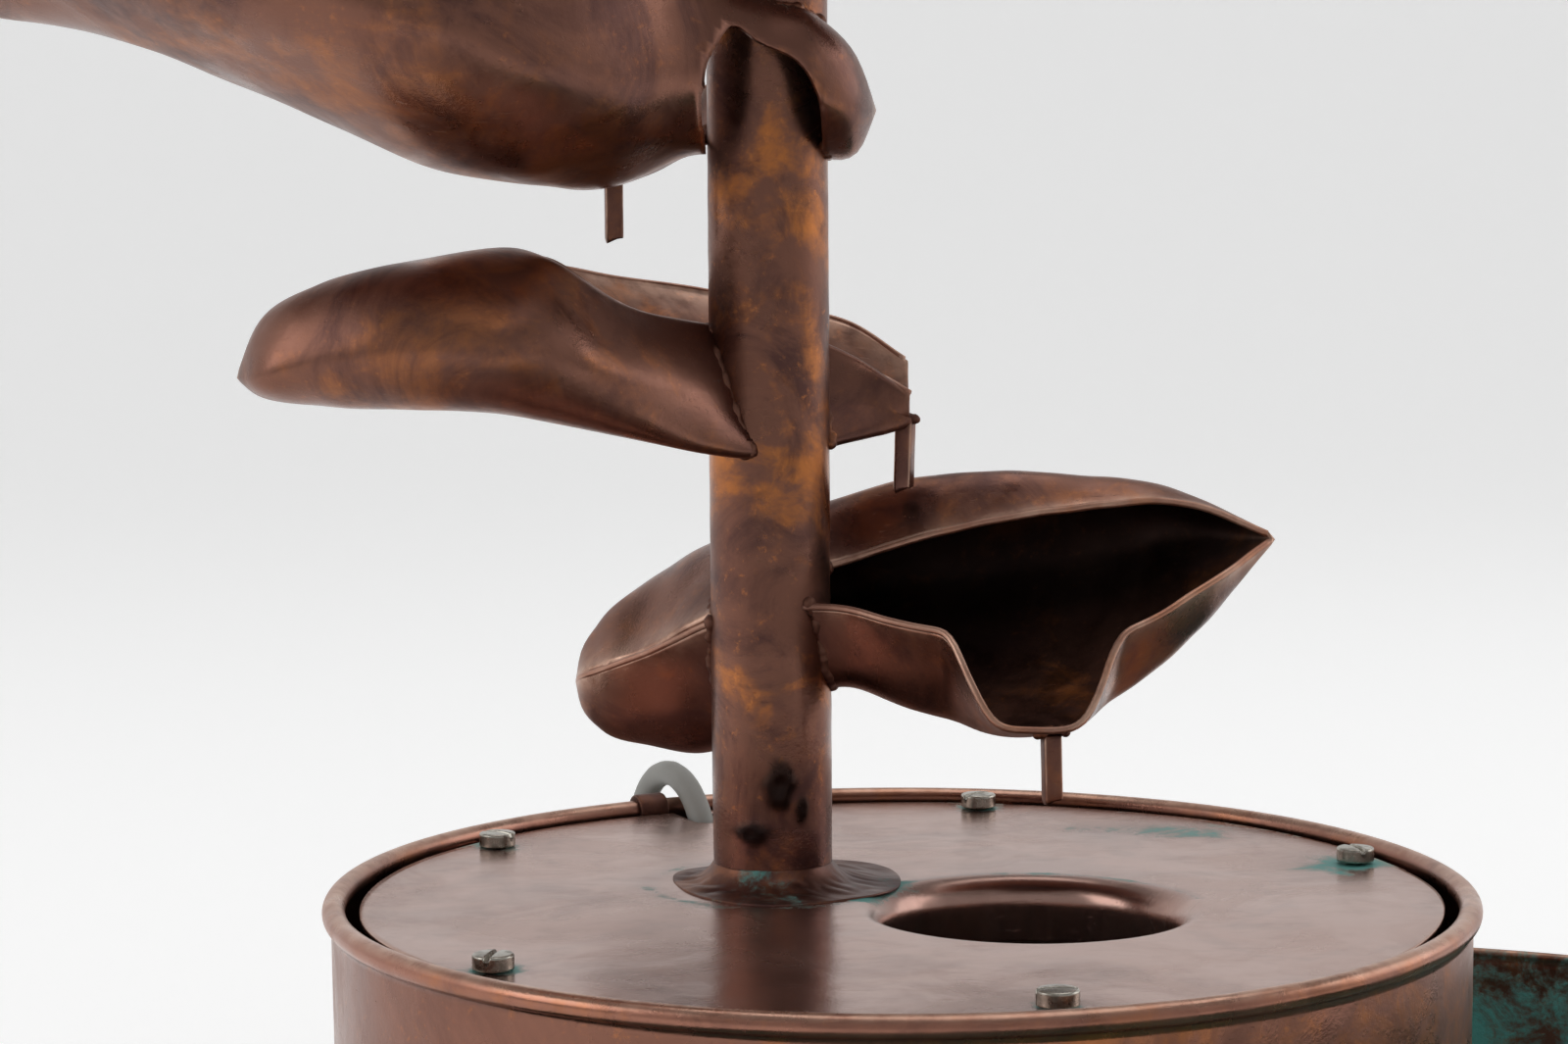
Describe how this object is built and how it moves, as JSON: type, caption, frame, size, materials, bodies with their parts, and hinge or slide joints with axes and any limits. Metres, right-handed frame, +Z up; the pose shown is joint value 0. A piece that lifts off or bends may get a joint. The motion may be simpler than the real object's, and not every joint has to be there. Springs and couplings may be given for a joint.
{
  "type": "tabletop water fountain",
  "caption": "Tabletop water fountain: copper leaves brazed up a pipe column drip from one to the next into a round drum that hides a pump, standing in a shallow round tray.",
  "frame": {"origin": "on the drum's axis, on the underside of the tray", "axes": "+Z up, +Y towards the back where the cord leaves, +X to the right of the viewer, who stands at -Y"},
  "size_m": [0.5781, 0.5842, 0.5],
  "materials": {
    "aged_copper": "dark brown copper patina, satin",
    "green_copper": "copper with green verdigris",
    "lid_copper": "pinkish satin copper",
    "screw_metal": "tarnished nickel plate",
    "bright_steel": "bright plated steel",
    "pump_plastic": "moulded black plastic",
    "rubber": "matt black rubber",
    "hose_vinyl": "milky vinyl hose",
    "ferrite": "dark ferrite magnet",
    "shaft_ceramic": "ground white ceramic",
    "foam": "open black filter foam",
    "cord_sheath": "grey flexible sheath"
  },
  "bodies": {
    "base": {"tray": "green_copper", "drum_wall": "aged_copper", "drum_base": "aged_copper", "lid_lug_1": "aged_copper", "lid_lug_2": "aged_copper", "lid_lug_3": "aged_copper", "lid_lug_4": "aged_copper", "lid_lug_5": "aged_copper", "rim_clip": "aged_copper", "suction_foot_1": "rubber", "suction_foot_2": "rubber", "suction_foot_3": "rubber", "suction_foot_4": "rubber", "pump_housing": "pump_plastic", "pump_cover": "pump_plastic", "pump_shaft": "shaft_ceramic", "outlet_barb": "pump_plastic", "hose_clamp": "bright_steel", "riser_hose": "hose_vinyl", "cord_gland": "rubber", "power_cord": "cord_sheath", "cord_coil": "cord_sheath", "cord_tail": "cord_sheath", "plug_body": "cord_sheath", "plug_pin_1": "bright_steel", "plug_pin_2": "bright_steel"},
    "lid_and_column": {"lid": "lid_copper", "drain_collar": "lid_copper", "column_foot": "aged_copper", "column_tube": "aged_copper", "hose_bush": "rubber", "leaf_1": "aged_copper", "leaf_2": "aged_copper", "leaf_3": "aged_copper", "leaf_4": "aged_copper", "leaf_5": "aged_copper", "leaf_6": "aged_copper", "drip_pin_1": "aged_copper", "drip_pin_2": "aged_copper", "drip_pin_3": "aged_copper", "drip_pin_4": "aged_copper", "drip_pin_5": "aged_copper", "drip_pin_6": "aged_copper"},
    "intake_cover": {"intake_grille": "pump_plastic", "foam_filter": "foam"},
    "flow_control": {"flow_dial": "pump_plastic"},
    "impeller": {"rotor_magnet": "ferrite", "impeller_vanes": "pump_plastic"},
    "lid_screw_1": {"lid_screw_1": "screw_metal"},
    "lid_screw_2": {"lid_screw_2": "screw_metal"},
    "lid_screw_3": {"lid_screw_3": "screw_metal"},
    "lid_screw_4": {"lid_screw_4": "screw_metal"},
    "lid_screw_5": {"lid_screw_5": "screw_metal"}
  },
  "joints": [
    {"name": "lid_lift", "type": "slide", "parent": "base", "child": "lid_and_column", "axis": [0, 0, 1], "range_m": [0, 0.12]},
    {"name": "impeller_spin", "type": "hinge", "parent": "base", "child": "impeller", "pos_m": [-0.0294, 0.015, 0.033], "axis": [1, 0, 0], "continuous": true},
    {"name": "intake_cover_pull", "type": "slide", "parent": "base", "child": "intake_cover", "axis": [1, 0, 0], "range_m": [0, 0.022]},
    {"name": "flow_dial_turn", "type": "hinge", "parent": "intake_cover", "child": "flow_control", "pos_m": [0.0017, 0.015, 0.033], "axis": [1, 0, 0], "range_deg": [-45, 45]},
    {"name": "lid_screw_1_turn", "type": "hinge", "parent": "lid_and_column", "child": "lid_screw_1", "pos_m": [0.11127, 0.03615, 0.104], "axis": [0, 0, 1], "continuous": true},
    {"name": "lid_screw_2_turn", "type": "hinge", "parent": "lid_and_column", "child": "lid_screw_2", "pos_m": [0.02433, 0.11444, 0.104], "axis": [0, 0, 1], "continuous": true},
    {"name": "lid_screw_3_turn", "type": "hinge", "parent": "lid_and_column", "child": "lid_screw_3", "pos_m": [-0.09812, 0.06372, 0.104], "axis": [0, 0, 1], "continuous": true},
    {"name": "lid_screw_4_turn", "type": "hinge", "parent": "lid_and_column", "child": "lid_screw_4", "pos_m": [-0.0883, -0.07676, 0.104], "axis": [0, 0, 1], "continuous": true},
    {"name": "lid_screw_5_turn", "type": "hinge", "parent": "lid_and_column", "child": "lid_screw_5", "pos_m": [0.02831, -0.11353, 0.104], "axis": [0, 0, 1], "continuous": true}
  ]
}
